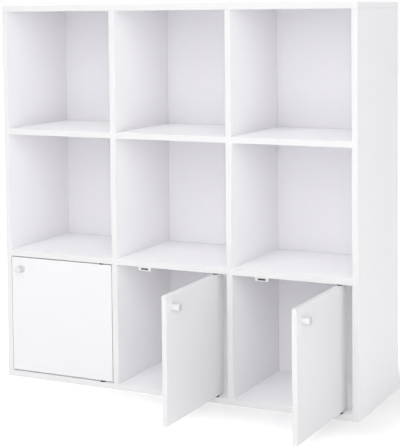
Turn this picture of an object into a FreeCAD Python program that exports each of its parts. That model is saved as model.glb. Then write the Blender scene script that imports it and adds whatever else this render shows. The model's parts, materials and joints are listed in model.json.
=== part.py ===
import FreeCAD, Part
import math
import os
from FreeCAD import Vector

# A cube bookcase: three columns by three rows of square cells between white laminated boards.
# Each cell of the bottom row has an inset door on two pivots near its right edge.
# Millimetres. +X to the right, +Y to the back, +Z up. The origin is the middle of the base.
# In the rest pose the left door is closed, and the middle and right doors stand open.

# Cabinet
cabinet_width = 975.0
cabinet_depth = 300.0
cabinet_height = 975.0
board_thickness = 15.0
column_names = ("left", "middle", "right")
row_names = ("bottom", "middle", "top")
divider_names = ("left", "right")
edge_round = 0.8

# Back panels, held in a groove round the cabinet and in strips behind the dividers
back_thickness = 3.0
back_setback = 9.0
groove_depth = 6.0
groove_play = 0.2
strip_flange_width = 13.0
strip_flange_thickness = 1.0
strip_web = 1.2
strip_play = 0.3

# Fixings in general
fit_play = 0.1
tip_room = 1.0
fixing_inset = 50.0
overrun = 2.0
full_turn = 360.0
parallel_share = 0.999

# Cabinet screws, through the top and bottom boards into the uprights
screw_head_radius = 5.0
screw_head_height = 3.2
screw_shank_radius = 3.5
screw_shank_length = 12.0
screw_thread_radius = 3.0
screw_thread_length = 32.0
screw_tip_radius = 1.5
screw_tip_length = 2.8
screw_socket_sides = 6
screw_socket_width = 4.0
screw_socket_depth = 2.6
screw_recess = 1.0
cap_radius = 6.5
cap_thickness = 1.8
cap_chamfer = 0.3

# Cam bolts in the sides and cam locks in the shelves
bolt_thread_radius = 3.0
bolt_thread_length = 11.0
bolt_collar_radius = 3.6
bolt_collar_length = 2.0
bolt_stem_radius = 2.5
bolt_stem_length = 16.0
bolt_neck_radius = 1.7
bolt_neck_length = 4.0
bolt_head_radius = 3.4
bolt_head_length = 2.5
cam_radius = 7.5
cam_height = 12.5
cam_slot_width = 8.0
cam_driver_width = 1.4
cam_driver_length = 9.0
cam_driver_depth = 2.4

# Wooden dowels
dowel_radius = 4.0
dowel_chamfer = 0.8
end_dowel_length = 30.0
end_dowel_in_side = 10.0
divider_dowel_length = 47.0

# Doors
door_thickness = 12.0
door_side_gap = 2.0
door_top_gap = 2.5
door_bottom_gap = 3.5
door_rest_angles = {"left": 0.0, "middle": 90.0, "right": 89.1}

# Door pivots: a pin in the edge of the door turns in a flanged bush in the board
pivot_inset = 33.0
pin_radius = 2.5
pin_grip = 18.0
pin_reach = 8.0
pin_chamfer = 0.5
pivot_play = 0.05
bush_radius = 4.2
bush_depth = 10.5
bush_floor = 1.5
bush_flange_radius = 7.0
bush_running_gap = 0.3

# Knobs
knob_radius = 9.0
knob_length = 21.0
knob_chamfer = 0.8
knob_inset = 30.0
knob_drop = 30.0
knob_bore_depth = 11.0
knob_screw_radius = 2.0
knob_screw_grip = 9.0
knob_screw_head_radius = 4.2
knob_screw_head_height = 2.2
driver_slot_width = 1.0
driver_slot_depth = 1.0

# Magnetic catches under the lower shelf
catch_inset = 71.0
catch_width = 36.0
catch_depth = 13.0
catch_height = 12.0
catch_round = 1.5
magnet_drop = 7.5
magnet_width = 20.0
magnet_depth = 8.0
magnet_height = 4.0
pole_thickness = 1.0
pole_depth = 9.0
pole_proud = 0.5
catch_screw_radius = 1.5
catch_screw_length = 14.0
catch_screw_head_radius = 2.7
catch_screw_head_height = 1.8
catch_ear_height = 4.5

# Strike plates on the doors
strike_width = 34.0
strike_height = 11.0
strike_thickness = 1.5
strike_gap = 0.3
strike_round = 2.0
strike_screw_head_radius = 3.2
strike_screw_radius = 1.5
strike_screw_grip = 9.0

# Places that follow from the sizes
left = -cabinet_width / 2
right = cabinet_width / 2
front = -cabinet_depth / 2
rear = cabinet_depth / 2
column_count = len(column_names)
row_count = len(row_names)
cell_width = (cabinet_width - (column_count + 1) * board_thickness) / column_count
cell_height = (cabinet_height - (row_count + 1) * board_thickness) / row_count
upright_lefts = [left + index * (cell_width + board_thickness) for index in range(column_count + 1)]
level_bottoms = [index * (cell_height + board_thickness) for index in range(row_count + 1)]
back_face = rear - back_setback - back_thickness
inner_rear = back_face - strip_flange_thickness - strip_play
fixing_lines = (front + fixing_inset, inner_rear - fixing_inset)
door_level = level_bottoms[1]
door_bottom = board_thickness + door_bottom_gap
door_top = door_level - door_top_gap
pivot_line = front + door_thickness / 2
strike_face = front + door_thickness + strike_thickness
catch_front = strike_face + strike_gap + pole_proud
magnet_level = door_level - magnet_drop
pocket_half_width = magnet_width / 2 + fit_play
ear_offset = (pocket_half_width + catch_width / 2) / 2
up = Vector(0, 0, 1)
down = Vector(0, 0, -1)
rightwards = Vector(1, 0, 0)
leftwards = Vector(-1, 0, 0)
forwards = Vector(0, -1, 0)
backwards = Vector(0, 1, 0)


# General shapes

def block(x_low, x_high, y_low, y_high, z_low, z_high):
    """A box between two values along each axis."""
    return Part.makeBox(x_high - x_low, y_high - y_low, z_high - z_low, Vector(x_low, y_low, z_low))


def turned(place, direction, steps, play=0.0, run_on=0.0):
    """A turned body that starts at place. A step is (length, radius at its start, radius at its end).

    The hole for a fastener is the same body with play added to each radius and to its far end.
    """
    outline = [Vector(0, 0, 0)]
    distance = 0.0
    for length, near_radius, far_radius in steps:
        outline.append(Vector(near_radius + play, 0, distance))
        distance += length
        outline.append(Vector(far_radius + play, 0, distance))
    if run_on:
        distance += run_on
        outline.append(Vector(far_radius + play, 0, distance))
    outline.append(Vector(0, 0, distance))
    outline.append(outline[0])
    body = Part.Face(Part.makePolygon(outline)).revolve(Vector(0, 0, 0), up, full_turn)
    body.Placement = FreeCAD.Placement(place, FreeCAD.Rotation(up, direction))
    return body


def rounded_ends(radius, length, chamfer):
    """The steps of a plain pin with a chamfer at each end."""
    return (
        (chamfer, radius - chamfer, radius),
        (length - 2 * chamfer, radius, radius),
        (chamfer, radius, radius - chamfer),
    )


def rounded(shape, radius, chosen):
    """Round the straight edges that the chosen test picks."""
    return shape.makeFillet(radius, [edge for edge in shape.Edges if chosen(edge)])


def pierced(shape, tools):
    """Cut the tools that reach into the shape."""
    return shape.cut([tool for tool in tools if tool.BoundBox.intersect(shape.BoundBox)])


def lies_along(edge, direction):
    """Whether a straight edge runs along a direction."""
    return abs(edge.tangentAt(edge.FirstParameter).dot(direction)) > parallel_share


def in_front(edge):
    """Whether an edge lies wholly in the plane of the boards' front edges."""
    return edge.BoundBox.YMax < front + edge_round / 2


def group(solids):
    """Separate solids that share one node."""
    return Part.makeCompound(solids)


# Cabinet screws and their caps

def cabinet_screw_steps():
    """The steps of a cabinet screw, from the face of its countersunk head to its tip."""
    return (
        (screw_head_height, screw_head_radius, screw_shank_radius),
        (screw_shank_length, screw_shank_radius, screw_shank_radius),
        (screw_thread_length, screw_thread_radius, screw_thread_radius),
        (screw_tip_length, screw_thread_radius, screw_tip_radius),
    )


def screw_places(level):
    """Where the cabinet screws stand: two in the end of each upright."""
    return [Vector(x + board_thickness / 2, y, level) for x in upright_lefts for y in fixing_lines]


def cabinet_screw(place, direction):
    """A cabinet screw with a hexagonal socket in its head."""
    side_angle = full_turn / screw_socket_sides
    corners = [Vector(screw_socket_width / 2 / math.cos(math.radians(side_angle / 2)), 0, 0)]
    for _ in range(screw_socket_sides):
        corners.append(FreeCAD.Rotation(up, side_angle).multVec(corners[-1]))
    socket = Part.Face(Part.makePolygon(corners)).extrude(direction * screw_socket_depth)
    socket.translate(place)
    return turned(place, direction, cabinet_screw_steps()).cut(socket)


def cabinet_screw_hole(place, direction):
    """The countersunk hole for a cabinet screw, with the recess that its head is reached through."""
    hole = turned(place, direction, cabinet_screw_steps(), fit_play, tip_room)
    recess_length = screw_recess + overrun
    recess = turned(place, -direction, ((recess_length, screw_head_radius, screw_head_radius),), fit_play)
    return hole.fuse(recess).removeSplitter()


def cap_recess(place):
    """The wider recess in the top board that holds a cap."""
    return turned(place, up, ((cap_thickness + overrun, cap_radius, cap_radius),), fit_play)


def screw_cap(place):
    """A flat cap, flush with the top board."""
    steps = (
        (cap_thickness - cap_chamfer, cap_radius, cap_radius),
        (cap_chamfer, cap_radius, cap_radius - cap_chamfer),
    )
    return turned(place, up, steps)


top_screw_places = screw_places(cabinet_height - cap_thickness)
bottom_screw_places = screw_places(screw_recess)


# Cam bolts and cam locks

def shelf_ends():
    """Each end of each shelf: the plane where it meets a side, and the way into the shelf."""
    ends = []
    for level in level_bottoms[1:-1]:
        middle = level + board_thickness / 2
        ends.append((left + board_thickness, rightwards, middle))
        ends.append((right - board_thickness, leftwards, middle))
    return ends


def bolt_places():
    """The start of each cam bolt's thread, inside a side, and its direction."""
    places = []
    for x, direction, middle in shelf_ends():
        for y in fixing_lines:
            places.append((Vector(x, y, middle) - direction * bolt_thread_length, direction))
    return places


def cam_bolt_steps():
    """The steps of a cam bolt, from its thread's tip in the side to its head in the cam."""
    return (
        (bolt_thread_length, bolt_thread_radius, bolt_thread_radius),
        (bolt_collar_length, bolt_collar_radius, bolt_collar_radius),
        (bolt_stem_length, bolt_stem_radius, bolt_stem_radius),
        (bolt_neck_length, bolt_neck_radius, bolt_neck_radius),
        (bolt_head_length, bolt_head_radius, bolt_head_radius),
    )


def cam_bolt(place, direction):
    """A cam bolt."""
    return turned(place, direction, cam_bolt_steps())


def cam_bolt_hole(place, direction):
    """The threaded hole in the side and the wider bore in the end of the shelf."""
    shelf_length = sum(length for length, _, _ in cam_bolt_steps()) - bolt_thread_length
    steps = (
        (bolt_thread_length, bolt_thread_radius, bolt_thread_radius),
        (shelf_length, bolt_collar_radius, bolt_collar_radius),
    )
    thread_end = place - direction * tip_room
    deeper = turned(thread_end, direction, ((tip_room, bolt_thread_radius, bolt_thread_radius),), fit_play)
    return turned(place, direction, steps, fit_play).fuse(deeper).removeSplitter()


def cam_centre(place, direction):
    """The centre of a cam, on the bolt's head, at the underside of the shelf."""
    head_middle = bolt_thread_length + bolt_collar_length + bolt_stem_length + bolt_neck_length
    centre = place + direction * (head_middle + bolt_head_length / 2)
    return Vector(centre.x, centre.y, centre.z - board_thickness / 2)


def cam_hole(place, direction):
    """The blind hole in the underside of a shelf for a cam."""
    start = cam_centre(place, direction) + down * overrun
    return turned(start, up, ((cam_height + overrun, cam_radius, cam_radius),), fit_play)


def cam_lock(place, direction):
    """A cam, open towards its bolt, with a cross slot for the screwdriver."""
    centre = cam_centre(place, direction)
    body = turned(centre, up, ((cam_height, cam_radius, cam_radius),))
    half_slot = cam_slot_width / 2
    toward_bolt = centre - direction * (cam_radius + overrun)
    away = centre + direction * half_slot
    slot = block(
        min(toward_bolt.x, away.x), max(toward_bolt.x, away.x),
        centre.y - half_slot, centre.y + half_slot,
        place.z - half_slot, place.z + half_slot,
    )
    half_width = cam_driver_width / 2
    half_length = cam_driver_length / 2
    driver_top = centre.z + cam_driver_depth
    across = block(
        centre.x - half_length, centre.x + half_length,
        centre.y - half_width, centre.y + half_width,
        centre.z - overrun, driver_top,
    )
    along = block(
        centre.x - half_width, centre.x + half_width,
        centre.y - half_length, centre.y + half_length,
        centre.z - overrun, driver_top,
    )
    return body.cut([slot, across, along])


# Dowels

def end_dowel_starts():
    """The end of each dowel between a shelf and a side, inside the side."""
    middle_line = (front + inner_rear) / 2
    return [
        (Vector(x, middle_line, middle) - direction * end_dowel_in_side, direction)
        for x, direction, middle in shelf_ends()
    ]


def divider_dowel_starts():
    """The lower end of each dowel that runs through a shelf into the dividers below and above it."""
    starts = []
    for level in level_bottoms[1:-1]:
        low = level + board_thickness / 2 - divider_dowel_length / 2
        for x in upright_lefts[1:-1]:
            starts.extend((Vector(x + board_thickness / 2, y, low), up) for y in fixing_lines)
    return starts


def dowel(start, direction, length):
    """A wooden dowel with chamfered ends."""
    return turned(start, direction, rounded_ends(dowel_radius, length, dowel_chamfer))


def dowel_hole(start, direction, length):
    """The hole for a dowel, a little longer at both ends."""
    steps = ((length + 2 * tip_room, dowel_radius, dowel_radius),)
    return turned(start - direction * tip_room, direction, steps, fit_play)


# Door pivots

def pivot_places(column):
    """The pivots of a door: a point on each board's face, the way into the board, and the door's gap."""
    x = upright_lefts[column] + board_thickness + cell_width - pivot_inset
    return {
        "upper": (Vector(x, pivot_line, door_level), up, door_top_gap),
        "lower": (Vector(x, pivot_line, board_thickness), down, door_bottom_gap),
    }


def bush_hole(place, direction):
    """The blind hole in a board for a bush."""
    steps = ((bush_depth + overrun, bush_radius, bush_radius),)
    return turned(place - direction * overrun, direction, steps, fit_play)


def pivot_bush(place, direction, gap):
    """A flanged bush: its flange spaces the door from the board, and the pin turns in its bore."""
    flange_thickness = gap - bush_running_gap
    steps = (
        (flange_thickness, bush_flange_radius, bush_flange_radius),
        (bush_depth, bush_radius, bush_radius),
    )
    bore_depth = bush_depth - bush_floor + flange_thickness + overrun
    bore_start = place - direction * (flange_thickness + overrun)
    bore = turned(bore_start, direction, ((bore_depth, pin_radius, pin_radius),), pivot_play)
    return turned(place - direction * flange_thickness, direction, steps).cut(bore)


def pivot_pin(place, direction, gap):
    """A steel pin, held in the edge of the door and free in the bush."""
    length = pin_grip + gap + pin_reach
    start = place - direction * (pin_grip + gap)
    return turned(start, direction, rounded_ends(pin_radius, length, pin_chamfer))


def pivot_pin_hole(place, direction, gap):
    """The hole in the edge of the door for a pin."""
    start = place - direction * (pin_grip + gap + tip_room)
    depth = pin_grip + tip_room + overrun
    return turned(start, direction, ((depth, pin_radius, pin_radius),), fit_play)


# Magnetic catches

def catch_middle(column):
    """The middle of a catch across its cell."""
    return upright_lefts[column] + board_thickness + catch_inset


def catch_screw_places(column):
    """The underside of each screw head, in the ears of a catch."""
    y = catch_front + catch_depth / 2
    level = door_level - catch_ear_height
    middle = catch_middle(column)
    return [Vector(middle + side * ear_offset, y, level) for side in (-1, 1)]


def catch_screw(place):
    """A round-headed screw, up through the ear of a catch into the shelf."""
    shank = turned(place, up, (
        (catch_screw_length - catch_screw_radius, catch_screw_radius, catch_screw_radius),
        (catch_screw_radius, catch_screw_radius, 0.0),
    ))
    head = turned(place, down, (
        (catch_screw_head_height / 2, catch_screw_head_radius, catch_screw_head_radius),
        (catch_screw_head_height / 2, catch_screw_head_radius, catch_screw_radius),
    ))
    return shank.fuse(head).removeSplitter()


def catch_screw_hole(place):
    """The pilot hole for a catch screw, in the ear and the shelf."""
    return turned(place, up, ((catch_screw_length, catch_screw_radius, catch_screw_radius),), fit_play)


def catch_housing(column):
    """The moulded body of a catch: a pocket in front for the magnet, and two screw ears."""
    middle = catch_middle(column)
    half_width = catch_width / 2
    body = block(
        middle - half_width, middle + half_width,
        catch_front, catch_front + catch_depth,
        door_level - catch_height, door_level,
    )
    body = rounded(body, catch_round, lambda edge: edge.BoundBox.ZLength > 0 and lies_along(edge, up))
    half_height = magnet_height / 2 + pole_thickness + fit_play
    pocket = block(
        middle - pocket_half_width, middle + pocket_half_width,
        catch_front - overrun, catch_front + pole_depth - pole_proud + fit_play,
        magnet_level - half_height, magnet_level + half_height,
    )
    tools = [pocket]
    for place in catch_screw_places(column):
        recess_depth = catch_height - catch_ear_height + overrun
        recess_steps = ((recess_depth, catch_screw_head_radius, catch_screw_head_radius),)
        tools.append(turned(place, down, recess_steps, fit_play))
        tools.append(catch_screw_hole(place))
    return body.cut(tools)


def catch_magnet(column):
    """The ferrite bar between the pole plates."""
    middle = catch_middle(column)
    back = catch_front + pole_depth - pole_proud
    return block(
        middle - magnet_width / 2, middle + magnet_width / 2,
        back - magnet_depth, back,
        magnet_level - magnet_height / 2, magnet_level + magnet_height / 2,
    )


def catch_pole_plates(column):
    """The two steel plates that carry the pull of the magnet to the strike plate."""
    middle = catch_middle(column)
    plates = []
    for level in (magnet_level + magnet_height / 2, magnet_level - magnet_height / 2 - pole_thickness):
        plates.append(block(
            middle - magnet_width / 2, middle + magnet_width / 2,
            catch_front - pole_proud, catch_front - pole_proud + pole_depth,
            level, level + pole_thickness,
        ))
    return group(plates)


# Everything that is bored or cut out of the cabinet's boards

def cabinet_holes():
    """The holes for every fixing in the cabinet, which the boards that they cross all share."""
    tools = [cabinet_screw_hole(place, down) for place in top_screw_places]
    tools += [cap_recess(place) for place in top_screw_places]
    tools += [cabinet_screw_hole(place, up) for place in bottom_screw_places]
    tools += [cam_bolt_hole(place, direction) for place, direction in bolt_places()]
    tools += [cam_hole(place, direction) for place, direction in bolt_places()]
    tools += [dowel_hole(start, way, end_dowel_length) for start, way in end_dowel_starts()]
    tools += [dowel_hole(start, way, divider_dowel_length) for start, way in divider_dowel_starts()]
    for column in range(column_count):
        tools += [bush_hole(place, direction) for place, direction, _ in pivot_places(column).values()]
        tools += [catch_screw_hole(place) for place in catch_screw_places(column)]
    return tools


def back_groove():
    """The space cut in the outer boards for the edges of the back panels."""
    return block(
        left + board_thickness - groove_depth, right - board_thickness + groove_depth,
        back_face - groove_play, back_face + back_thickness + groove_play,
        board_thickness - groove_depth, cabinet_height - board_thickness + groove_depth,
    )


# Boards

def flat_board(x_low, x_high, y_high, z_low, z_high):
    """A board whose front edge is rounded along its length."""
    shape = block(x_low, x_high, front, y_high, z_low, z_high)
    along = rightwards if x_high - x_low > z_high - z_low else up
    return rounded(shape, edge_round, lambda edge: in_front(edge) and lies_along(edge, along))


def shelf(level):
    """A horizontal board between the sides."""
    x_low = left + board_thickness
    x_high = right - board_thickness
    return flat_board(x_low, x_high, inner_rear, level, level + board_thickness)


def end_board(level):
    """The top or the bottom board, whose ends are rounded too because they show."""
    shape = block(left, right, front, rear, level, level + board_thickness)
    return rounded(shape, edge_round, lambda edge: in_front(edge) or lies_along(edge, backwards))


def upright(x, y_high, z_low, z_high):
    """A vertical board."""
    return flat_board(x, x + board_thickness, y_high, z_low, z_high)


def outer_boards(tools):
    """The top and bottom boards and the two sides, with the groove for the back."""
    side_low = board_thickness
    side_high = cabinet_height - board_thickness
    boards = {
        "top_board": end_board(level_bottoms[-1]),
        "bottom_board": end_board(level_bottoms[0]),
        "left_side": upright(upright_lefts[0], rear, side_low, side_high),
        "right_side": upright(upright_lefts[-1], rear, side_low, side_high),
    }
    groove = back_groove()
    return {name: pierced(shape, tools + [groove]) for name, shape in boards.items()}


def shelves(tools):
    """The two shelves between the sides."""
    names = ("lower_shelf", "upper_shelf")
    return {name: pierced(shelf(level), tools) for name, level in zip(names, level_bottoms[1:-1])}


def dividers(tools):
    """The short uprights between the cells of each row."""
    boards = {}
    for row, level in zip(row_names, level_bottoms):
        low = level + board_thickness
        for side, x in zip(divider_names, upright_lefts[1:-1]):
            board = upright(x, inner_rear, low, low + cell_height)
            boards[f"divider_{row}_{side}"] = pierced(board, tools)
    return boards


# Back

def back_panels():
    """Three thin panels, one behind each column, whose edges lie in the groove and the strips."""
    reach = groove_depth - groove_play
    middles = [x + board_thickness / 2 for x in upright_lefts[1:-1]]
    half_joint = strip_web / 2 + groove_play
    lefts = [left + board_thickness - reach] + [x + half_joint for x in middles]
    rights = [x - half_joint for x in middles] + [right - board_thickness + reach]
    low = board_thickness - reach
    high = cabinet_height - board_thickness + reach
    return {
        f"back_panel_{name}": block(x_low, x_high, back_face, back_face + back_thickness, low, high)
        for name, x_low, x_high in zip(column_names, lefts, rights)
    }


def back_strips():
    """The H-shaped strips that join the back panels behind the dividers."""
    strips = {}
    low = board_thickness + strip_play
    high = cabinet_height - board_thickness - strip_play
    front_face = back_face - strip_flange_thickness
    rear_inner = back_face + back_thickness + groove_play
    for name, x in zip(divider_names, upright_lefts[1:-1]):
        middle = x + board_thickness / 2
        half_flange = strip_flange_width / 2
        half_web = strip_web / 2
        flanges = [
            block(middle - half_flange, middle + half_flange, y, y + strip_flange_thickness, low, high)
            for y in (front_face, rear_inner)
        ]
        web = block(middle - half_web, middle + half_web, back_face, rear_inner, low, high)
        strips[f"back_strip_{name}"] = web.fuse(flanges).removeSplitter()
    return strips


# Doors

def knob_place(column):
    """Where the axis of a knob meets the outer face of its closed door."""
    x = upright_lefts[column] + board_thickness + door_side_gap + knob_inset
    return Vector(x, front, door_top - knob_drop)


def strike_place(column):
    """The middle of a strike plate, on the inner face of its closed door."""
    return Vector(catch_middle(column), front + door_thickness, magnet_level)


def knob_screw_steps():
    """The steps of a knob screw, from under its head to its tip in the knob."""
    return ((door_thickness + knob_screw_grip, knob_screw_radius, knob_screw_radius),)


def strike_screw_steps():
    """The steps of a strike screw, from the face of its countersunk head to its tip."""
    return (
        (strike_thickness, strike_screw_head_radius, strike_screw_radius),
        (strike_screw_grip - strike_screw_radius, strike_screw_radius, strike_screw_radius),
        (strike_screw_radius, strike_screw_radius, 0.0),
    )


def door_panel(column):
    """The panel of a door, both faces rounded at the edges, with the holes for its fittings."""
    cell_left = upright_lefts[column] + board_thickness
    x_low = cell_left + door_side_gap
    x_high = cell_left + cell_width - door_side_gap
    shape = block(x_low, x_high, front, front + door_thickness, door_bottom, door_top)
    shape = rounded(shape, edge_round, lambda edge: not lies_along(edge, backwards))
    tools = [pivot_pin_hole(*pivot) for pivot in pivot_places(column).values()]
    behind_knob = knob_place(column) + backwards * (door_thickness + overrun)
    through_steps = ((door_thickness + 2 * overrun, knob_screw_radius, knob_screw_radius),)
    tools.append(turned(behind_knob, forwards, through_steps, fit_play))
    strike_outer = strike_place(column) + backwards * strike_thickness
    tools.append(turned(strike_outer, forwards, strike_screw_steps(), fit_play, tip_room))
    return shape.cut(tools)


def knob(column):
    """A plain turned knob with a blind threaded bore."""
    place = knob_place(column)
    body = turned(place, forwards, (
        (knob_length - knob_chamfer, knob_radius, knob_radius),
        (knob_chamfer, knob_radius, knob_radius - knob_chamfer),
    ))
    bore_steps = ((knob_bore_depth + overrun, knob_screw_radius, knob_screw_radius),)
    return body.cut(turned(place + backwards * overrun, forwards, bore_steps, fit_play))


def knob_screw(column):
    """The screw that holds a knob, with a slotted head on the inner face of the door."""
    place = knob_place(column) + backwards * door_thickness
    half_head = knob_screw_head_height / 2
    head = turned(place, backwards, (
        (half_head, knob_screw_head_radius, knob_screw_head_radius),
        (half_head, knob_screw_head_radius, knob_screw_head_radius - half_head),
    ))
    head_top = place.y + knob_screw_head_height
    half_slot = driver_slot_width / 2
    slot = block(
        place.x - knob_screw_head_radius, place.x + knob_screw_head_radius,
        head_top - driver_slot_depth, head_top + overrun,
        place.z - half_slot, place.z + half_slot,
    )
    return turned(place, forwards, knob_screw_steps()).fuse(head).removeSplitter().cut(slot)


def strike_plate(column):
    """A steel plate that the magnet of the catch holds."""
    place = strike_place(column)
    half_width = strike_width / 2
    half_height = strike_height / 2
    plate = block(
        place.x - half_width, place.x + half_width,
        place.y, place.y + strike_thickness,
        place.z - half_height, place.z + half_height,
    )
    plate = rounded(plate, strike_round, lambda edge: lies_along(edge, backwards))
    face = place + backwards * strike_thickness
    return plate.cut(turned(face, forwards, strike_screw_steps(), fit_play))


def strike_screw(column):
    """The countersunk screw that holds a strike plate."""
    face = strike_place(column) + backwards * strike_thickness
    half_slot = driver_slot_width / 2
    slot = block(
        face.x - strike_screw_head_radius, face.x + strike_screw_head_radius,
        face.y - strike_thickness / 2, face.y + overrun,
        face.z - half_slot, face.z + half_slot,
    )
    return turned(face, forwards, strike_screw_steps()).cut(slot)


def pivot_pins(column):
    """The upper and lower pins of a door."""
    return group([pivot_pin(*pivot) for pivot in pivot_places(column).values()])


def door(column, name):
    """The pieces of one door, turned about its pivots to its rest angle."""
    pieces = {
        f"door_panel_{name}": door_panel(column),
        f"knob_{name}": knob(column),
        f"knob_screw_{name}": knob_screw(column),
        f"strike_plate_{name}": strike_plate(column),
        f"strike_screw_{name}": strike_screw(column),
        f"pivot_pins_{name}": pivot_pins(column),
    }
    axis_point, _, _ = pivot_places(column)["upper"]
    for shape in pieces.values():
        shape.rotate(axis_point, up, door_rest_angles[name])
    return pieces


def door_fittings(column, name):
    """The fittings of one door that stay on the cabinet."""
    pieces = {
        f"{level}_pivot_bush_{name}": pivot_bush(*pivot)
        for level, pivot in pivot_places(column).items()
    }
    pieces[f"catch_housing_{name}"] = catch_housing(column)
    pieces[f"catch_magnet_{name}"] = catch_magnet(column)
    pieces[f"catch_pole_plates_{name}"] = catch_pole_plates(column)
    return pieces


# Groups of like fasteners

def fasteners():
    """The cabinet's fasteners, each kind in one node."""
    catch_places = [place for column in range(column_count) for place in catch_screw_places(column)]
    return {
        "top_board_screws": group([cabinet_screw(place, down) for place in top_screw_places]),
        "bottom_board_screws": group([cabinet_screw(place, up) for place in bottom_screw_places]),
        "screw_caps": group([screw_cap(place) for place in top_screw_places]),
        "cam_bolts": group([cam_bolt(place, direction) for place, direction in bolt_places()]),
        "cam_locks": group([cam_lock(place, direction) for place, direction in bolt_places()]),
        "shelf_end_dowels": group([
            dowel(start, direction, end_dowel_length) for start, direction in end_dowel_starts()
        ]),
        "divider_dowels": group([
            dowel(start, direction, divider_dowel_length) for start, direction in divider_dowel_starts()
        ]),
        "catch_screws": group([catch_screw(place) for place in catch_places]),
    }


# The whole bookcase

def bookcase():
    """Every piece, by the name of its node."""
    tools = cabinet_holes()
    pieces = {}
    pieces.update(outer_boards(tools))
    pieces.update(shelves(tools))
    pieces.update(dividers(tools))
    pieces.update(back_panels())
    pieces.update(back_strips())
    pieces.update(fasteners())
    for column, name in enumerate(column_names):
        pieces.update(door_fittings(column, name))
        pieces.update(door(column, name))
    return pieces


os.makedirs("parts", exist_ok=True)
for node, shape in bookcase().items():
    shape.exportStep(f"parts/{node}.step")
    print(node, len(shape.Solids), round(shape.Volume), shape.isValid())
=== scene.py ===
import json
import math

import bpy
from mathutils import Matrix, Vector


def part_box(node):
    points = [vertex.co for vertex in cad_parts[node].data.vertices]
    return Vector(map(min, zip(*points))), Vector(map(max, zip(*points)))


# The cube bookcase in its materials, on a pale floor, seen from the photo's camera.
# Metres. +X to the right, +Y to the back, +Z up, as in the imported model.

# The photo's camera, solved from the edges of the boards
camera_place = (1.4874, -2.9957, 0.9600)
camera_turn_degrees = (86.675, 0.574, 26.371)
sensor_width = 0.036
focal_length = 0.11811
focal_shift = (0.0105, -0.3445)
mm_per_metre = 1000

# Soft boxes: place, point aimed at, size across and radiant power
middle = (0.0, 0.0, 0.48)
lower_cells = (0.0, 0.0, 0.15)
soft_boxes = {
    "front": ((0.0, -3.6, 2.4), middle, 4.5, 84.0),
    "front right": ((2.6, -3.0, 1.7), middle, 4.0, 39.0),
    "top front": ((0.0, -2.4, 3.4), middle, 2.4, 10.0),
    "above": ((0.0, 0.5, 3.2), middle, 2.4, 14.0),
    "right": ((3.6, -0.3, 1.3), middle, 2.4, 17.5),
    "left": ((-3.6, -0.3, 1.3), middle, 2.4, 47.0),
    "rear": ((-1.4, 2.2, 3.2), middle, 2.4, 28.0),
    "near low": ((0.6, -1.9, 0.35), lower_cells, 0.8, 5.4),
}

# The sky's strength as light on things, and the white that it shows where it is seen
sky_strength = 0.15
full_strength = 1.0
white = (1.0, 1.0, 1.0, 1.0)

# Pairs of colours that a surface varies between
# Painted shade: faces and hardboard tinted blue for the bluish shade in the cells
board_white = ((0.940, 0.933, 0.955), (0.952, 0.945, 0.967))
# Painted shade: the front edging is greyed to take light off the well-lit fronts
board_edging_painted_shade = ((0.810, 0.807, 0.813), (0.824, 0.821, 0.827))
# Painted shade: door faces and edging greyer than the boards', for the front-lit door
door_white_painted_shade = ((0.848, 0.842, 0.860), (0.864, 0.858, 0.876))
door_edging_painted_shade = ((0.765, 0.763, 0.767), (0.779, 0.777, 0.781))
hardboard_white = ((0.937, 0.930, 0.952), (0.949, 0.942, 0.964))
bare_hardboard = ((0.30, 0.19, 0.11), (0.46, 0.32, 0.20))
bare_chipboard = ((0.32, 0.22, 0.13), (0.66, 0.52, 0.36))
bare_beech = ((0.50, 0.33, 0.19), (0.72, 0.54, 0.36))
floor_pale = ((0.94, 0.94, 0.94), (0.95, 0.95, 0.95))

# Noise patterns: scale, detail and, where they aren't alike all ways, factors on the
# scale along X, Y and Z
face_drift = (2.5, 3.0)
lacquer_drift = (3.0, 3.0)
edging_drift = (9.0, 2.0)
floor_dapple = (1.5, 2.0)
pearl_grain = (850.0, 3.0)
moulded_grain = (1600.0, 4.0)
metal_grain = (900.0, 5.0)
chips = (420.0, 6.0, (1.0, 1.0, 2.2))
fibres = (260.0, 8.0, (1.0, 1.0, 1.6))
beech_pores = (700.0, 6.0, (1.0, 1.0, 0.15))

# Such factors for metal, which draw its grain out into lines
turned_lines = (1.0, 14.0, 1.0)
rolled_lines = (0.1, 1.0, 1.0)

# The noise values that a pair of colours spreads between. The closer they are, the
# clearer the pattern
narrow = (0.35, 0.65)
medium = (0.30, 0.70)
wide = (0.25, 0.75)

# Diffuse roughness of the white boards, doors and back
matt = 1.0

# The part of its normal along an axis from which a surface counts as facing that way
squarely = 0.9
aslant = 0.5

# The floor. It glows with floor_lift under the cabinet, whose half width and depth
# are given, and fully from shadow_reach away, so that the shadow fades into white
floor_width = 30.0
floor_roughness = 0.9
floor_gloss = 0.1
floor_lift = 0.22
half_footprint = (0.4875, 0.15, 0.0)
shadow_reach = 0.5


def node(tree, kind, **settings):
    """A new shader node with its settings."""
    made = tree.nodes.new(kind)
    for name, value in settings.items():
        setattr(made, name, value)
    return made


def object_point(tree):
    """Coordinates in the row frame at rest, which move with the body."""
    return node(tree, "ShaderNodeTexCoord").outputs["Object"]


def noise(tree, scale, detail, stretch=None):
    """A noise value between 0 and 1 at a point of the object."""
    made = node(tree, "ShaderNodeTexNoise")
    made.inputs["Scale"].default_value = scale
    made.inputs["Detail"].default_value = detail
    point = object_point(tree)
    if stretch:
        mapping = node(tree, "ShaderNodeMapping")
        mapping.inputs["Scale"].default_value = stretch
        tree.links.new(point, mapping.inputs["Vector"])
        point = mapping.outputs["Vector"]
    tree.links.new(point, made.inputs["Vector"])
    return made.outputs["Fac"]


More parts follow.
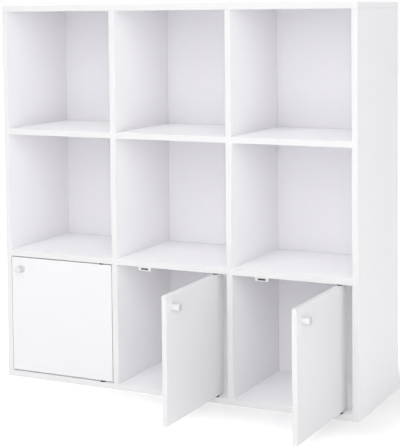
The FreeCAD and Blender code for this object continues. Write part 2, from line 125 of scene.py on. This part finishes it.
def ramp(tree, value, limits, colours):
    """Two colours, and their blends for the values between two limits."""
    made = node(tree, "ShaderNodeValToRGB")
    for stop, limit, colour in zip(made.color_ramp.elements, limits, colours):
        stop.position = limit
        stop.color = (*colour, 1.0)
    tree.links.new(value, made.inputs["Fac"])
    return made.outputs["Color"]


def span(tree, value, low, high):
    """A value from 0 to 1 rescaled to run from low to high."""
    made = node(tree, "ShaderNodeMapRange")
    made.inputs["To Min"].default_value = low
    made.inputs["To Max"].default_value = high
    tree.links.new(value, made.inputs["Value"])
    return made.outputs["Result"]


def mix(tree, share, first, second):
    """One colour turning into another with a share from 0 to 1."""
    made = node(tree, "ShaderNodeMix", data_type="RGBA")
    tree.links.new(share, made.inputs["Factor"])
    tree.links.new(first, made.inputs["A"])
    tree.links.new(second, made.inputs["B"])
    return made.outputs["Result"]


def facing(tree, axis, operation, limit):
    """1 where a part of a surface's own normal is beyond a limit, else 0."""
    normal = node(tree, "ShaderNodeTexCoord").outputs["Normal"]
    parts = node(tree, "ShaderNodeSeparateXYZ")
    tree.links.new(normal, parts.inputs["Vector"])
    test = node(tree, "ShaderNodeMath", operation=operation)
    test.inputs[1].default_value = limit
    tree.links.new(parts.outputs[axis], test.inputs[0])
    return test.outputs["Value"]


def facing_back(tree):
    """1 where a surface faces the rear of the cabinet, else 0."""
    return facing(tree, "Y", "GREATER_THAN", squarely)


def facing_front(tree):
    """1 where a surface faces the front of the cabinet, also aslant, else 0."""
    return facing(tree, "Y", "LESS_THAN", -aslant)


def facing_across(tree, axis):
    """1 where a surface faces either way along an axis, else 0."""
    both = node(tree, "ShaderNodeMath", operation="ADD")
    tree.links.new(facing(tree, axis, "GREATER_THAN", squarely), both.inputs[0])
    tree.links.new(facing(tree, axis, "LESS_THAN", -squarely), both.inputs[1])
    return both.outputs["Value"]


def surface(name):
    """A new material, its node tree and its principled shader."""
    material = bpy.data.materials.new(name)
    material.use_nodes = True
    return material, material.node_tree, material.node_tree.nodes["Principled BSDF"]


def texture(tree, shader, pattern, roughness, depth):
    """Roughness between two values, and relief of a depth, that follow a pattern."""
    tree.links.new(span(tree, pattern, *roughness), shader.inputs["Roughness"])
    bump = node(tree, "ShaderNodeBump")
    bump.inputs["Distance"].default_value = depth
    tree.links.new(pattern, bump.inputs["Height"])
    tree.links.new(bump.outputs["Normal"], shader.inputs["Normal"])


def pearl(tree, shader):
    """The matt white and fine pearl relief of melamine."""
    shader.inputs["Diffuse Roughness"].default_value = matt
    grain = noise(tree, *pearl_grain)
    texture(tree, shader, grain, roughness=(0.40, 0.52), depth=0.00004)


def melamine_door(axis):
    """White melamine on a door thin along an axis, faces and edging greyed as painted
    shade.
    """
    material, tree, shader = surface("melamine door thin along " + axis)
    face = ramp(tree, noise(tree, *face_drift), narrow, door_white_painted_shade)
    shaded_edging = ramp(tree, noise(tree, *edging_drift), narrow, door_edging_painted_shade)
    # Painted shade: the door takes its greyed face and edging colours
    shaded_door = mix(tree, facing_across(tree, axis), shaded_edging, face)
    tree.links.new(shaded_door, shader.inputs["Base Color"])
    pearl(tree, shader)
    return material


def melamine_board():
    """White melamine, its front edging greyed as painted shade, bare chipboard along
    the rear.
    """
    material, tree, shader = surface("melamine board")
    face = ramp(tree, noise(tree, *face_drift), narrow, board_white)
    core = ramp(tree, noise(tree, *chips), medium, bare_chipboard)
    shaded_edging = ramp(tree, noise(tree, *edging_drift), narrow, board_edging_painted_shade)
    # Painted shade: front-facing surfaces get the greyed edging colour
    front_shaded = mix(tree, facing_front(tree), face, shaded_edging)
    backed = mix(tree, facing_back(tree), front_shaded, core)
    tree.links.new(backed, shader.inputs["Base Color"])
    pearl(tree, shader)
    return material


def hardboard():
    """Hardboard, lacquered white in front and bare behind."""
    material, tree, shader = surface("hardboard")
    shader.inputs["Diffuse Roughness"].default_value = matt
    lacquer = ramp(tree, noise(tree, *lacquer_drift), narrow, hardboard_white)
    grain = noise(tree, *fibres)
    bare = ramp(tree, grain, wide, bare_hardboard)
    backed = mix(tree, facing_back(tree), lacquer, bare)
    tree.links.new(backed, shader.inputs["Base Color"])
    texture(tree, shader, grain, roughness=(0.48, 0.62), depth=0.00003)
    return material


def grained(name, pattern, colours, roughness, depth, gloss=0.5, metallic=0.0):
    """A material whose colour, roughness and relief all follow one pattern."""
    material, tree, shader = surface(name)
    shader.inputs["Metallic"].default_value = metallic
    shader.inputs["Specular IOR Level"].default_value = gloss
    grain = noise(tree, *pattern)
    tree.links.new(ramp(tree, grain, medium, colours), shader.inputs["Base Color"])
    texture(tree, shader, grain, roughness, depth)
    return material


def plastic(name, colours, roughness, gloss=0.5):
    """Moulded plastic with a fine spark-eroded texture."""
    return grained(name, moulded_grain, colours, roughness, depth=0.00003, gloss=gloss)


def metal(name, colours, roughness, stretch=None, metallic=1.0):
    """Metal with lines or spots from its finishing, less metallic under a lacquer."""
    pattern = (*metal_grain, stretch)
    return grained(name, pattern, colours, roughness, depth=0.00001, metallic=metallic)


def finishes():
    """Every finish but the doors', by the name of its material slot in the record."""
    return {
        "white_board": melamine_board(),
        "white_hardboard": hardboard(),
        "white_strip": plastic(
            "extruded strip",
            colours=((0.80, 0.80, 0.80), (0.84, 0.84, 0.84)),
            roughness=(0.35, 0.50),
        ),
        "white_plastic": plastic(
            "white moulding",
            colours=((0.84, 0.84, 0.84), (0.88, 0.88, 0.88)),
            roughness=(0.35, 0.50),
        ),
        "black_plastic": plastic(
            "black acetal",
            colours=((0.012, 0.012, 0.013), (0.020, 0.020, 0.022)),
            roughness=(0.50, 0.65),
            gloss=0.15,
        ),
        "knob_metal": metal(
            "lacquered knob",
            colours=((0.70, 0.70, 0.71), (0.76, 0.76, 0.77)),
            roughness=(0.55, 0.70),
            stretch=turned_lines,
            metallic=0.1,
        ),
        "steel_plate": metal(
            "cold-rolled steel",
            colours=((0.50, 0.50, 0.52), (0.62, 0.62, 0.64)),
            roughness=(0.30, 0.45),
            stretch=rolled_lines,
        ),
        "zinc_plated_steel": metal(
            "zinc plating",
            colours=((0.60, 0.61, 0.64), (0.74, 0.75, 0.77)),
            roughness=(0.25, 0.40),
        ),
        "zinc_casting": metal(
            "zinc casting",
            colours=((0.42, 0.42, 0.44), (0.54, 0.54, 0.56)),
            roughness=(0.40, 0.60),
        ),
        "ferrite": plastic(
            "ferrite",
            colours=((0.030, 0.030, 0.033), (0.055, 0.055, 0.060)),
            roughness=(0.50, 0.70),
            gloss=0.3,
        ),
        "beech": grained(
            "beech",
            beech_pores,
            colours=bare_beech,
            roughness=(0.55, 0.75),
            depth=0.00004,
        ),
    }


def thin_axis(name):
    """X or Y, whichever an upright panel is thinner along at rest."""
    low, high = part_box(name)
    return "X" if high[0] - low[0] < high[1] - low[1] else "Y"


def dress(frame):
    """Give every CAD node the finish of its slot, and the doors theirs."""
    made = finishes()
    doors = {axis: melamine_door(axis) for axis in "XY"}
    subparts = frame["record"]["subparts"]
    slots = {entry["node"]: entry["material_slot"] for entry in subparts}
    for name, piece in frame["nodes"].items():
        slot = slots[name]
        finish = doors[thin_axis(name)] if slot == "white_door" else made[slot]
        piece.data.materials.clear()
        piece.data.materials.append(finish)


def seen_directly(tree):
    """1 for rays from the camera, off a shiny surface or through glass, else 0."""
    path = node(tree, "ShaderNodeLightPath")
    first = node(tree, "ShaderNodeMath", operation="MAXIMUM")
    both = node(tree, "ShaderNodeMath", operation="MAXIMUM")
    tree.links.new(path.outputs["Is Camera Ray"], first.inputs[0])
    tree.links.new(path.outputs["Is Glossy Ray"], first.inputs[1])
    tree.links.new(first.outputs["Value"], both.inputs[0])
    tree.links.new(path.outputs["Is Transmission Ray"], both.inputs[1])
    return both.outputs["Value"]


def away_from_object(tree):
    """0 on the floor under the cabinet, rising to 1 where its shadow has faded."""
    mirrored = node(tree, "ShaderNodeVectorMath", operation="ABSOLUTE")
    beyond = node(tree, "ShaderNodeVectorMath", operation="SUBTRACT")
    outside = node(tree, "ShaderNodeVectorMath", operation="MAXIMUM")
    distance = node(tree, "ShaderNodeVectorMath", operation="LENGTH")
    rise = node(tree, "ShaderNodeMapRange", interpolation_type="SMOOTHSTEP")
    beyond.inputs[1].default_value = half_footprint
    rise.inputs["From Max"].default_value = shadow_reach
    tree.links.new(object_point(tree), mirrored.inputs[0])
    tree.links.new(mirrored.outputs["Vector"], beyond.inputs[0])
    tree.links.new(beyond.outputs["Vector"], outside.inputs[0])
    tree.links.new(outside.outputs["Vector"], distance.inputs[0])
    tree.links.new(distance.outputs["Value"], rise.inputs["Value"])
    return rise.outputs["Result"]


def floor():
    """A pale floor that keeps the shadow and looks white away from the bookcase."""
    half = floor_width / 2
    signs = ((-1, -1), (1, -1), (1, 1), (-1, 1))
    corners = [(x * half, y * half, 0.0) for x, y in signs]
    mesh = bpy.data.meshes.new("floor")
    mesh.from_pydata(corners, [], [(0, 1, 2, 3)])
    piece = bpy.data.objects.new("floor", mesh)
    bpy.context.scene.collection.objects.link(piece)
    material, tree, shader = surface("pale floor")
    shader.inputs["Roughness"].default_value = floor_roughness
    shader.inputs["Specular IOR Level"].default_value = floor_gloss
    colour = ramp(tree, noise(tree, *floor_dapple), medium, floor_pale)
    tree.links.new(colour, shader.inputs["Base Color"])
    shader.inputs["Emission Color"].default_value = white
    strength = span(tree, away_from_object(tree), floor_lift, full_strength)
    glow = node(tree, "ShaderNodeMath", operation="MULTIPLY")
    tree.links.new(seen_directly(tree), glow.inputs[0])
    tree.links.new(strength, glow.inputs[1])
    tree.links.new(glow.outputs["Value"], shader.inputs["Emission Strength"])
    mesh.materials.append(material)


def sky():
    """Soft light from all round, which looks white where it is seen."""
    world = bpy.data.worlds.new("studio")
    world.use_nodes = True
    tree = world.node_tree
    background = tree.nodes["Background"]
    background.inputs["Color"].default_value = white
    strength = span(tree, seen_directly(tree), sky_strength, full_strength)
    tree.links.new(strength, background.inputs["Strength"])
    bpy.context.scene.world = world


def lamp(name, place, aim, size, power):
    """A square soft box turned towards a point."""
    data = bpy.data.lights.new(name, "AREA")
    data.size = size
    data.energy = power
    made = bpy.data.objects.new(name, data)
    made.location = place
    made.rotation_mode = "QUATERNION"
    made.rotation_quaternion = (Vector(aim) - Vector(place)).to_track_quat("-Z", "Y")
    bpy.context.scene.collection.objects.link(made)


def camera():
    """The photo's camera."""
    data = bpy.data.cameras.new("camera")
    data.sensor_fit = "HORIZONTAL"
    data.sensor_width = sensor_width * mm_per_metre
    data.lens = focal_length * mm_per_metre
    data.shift_x, data.shift_y = focal_shift
    made = bpy.data.objects.new("camera", data)
    made.location = camera_place
    made.rotation_euler = [math.radians(angle) for angle in camera_turn_degrees]
    bpy.context.scene.collection.objects.link(made)
    bpy.context.scene.camera = made


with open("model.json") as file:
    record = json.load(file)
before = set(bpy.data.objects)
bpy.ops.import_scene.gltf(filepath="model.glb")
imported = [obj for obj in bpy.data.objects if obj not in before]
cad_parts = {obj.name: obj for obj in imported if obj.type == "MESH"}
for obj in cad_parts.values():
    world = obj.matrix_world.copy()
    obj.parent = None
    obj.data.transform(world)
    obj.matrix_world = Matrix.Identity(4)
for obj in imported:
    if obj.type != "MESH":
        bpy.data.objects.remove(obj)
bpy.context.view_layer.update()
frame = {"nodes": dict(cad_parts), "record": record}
dress(frame)
floor()
sky()
for name, settings in soft_boxes.items():
    lamp(name, *settings)
camera()
bpy.context.scene.view_settings.view_transform = "Standard"
bpy.context.view_layer.update()
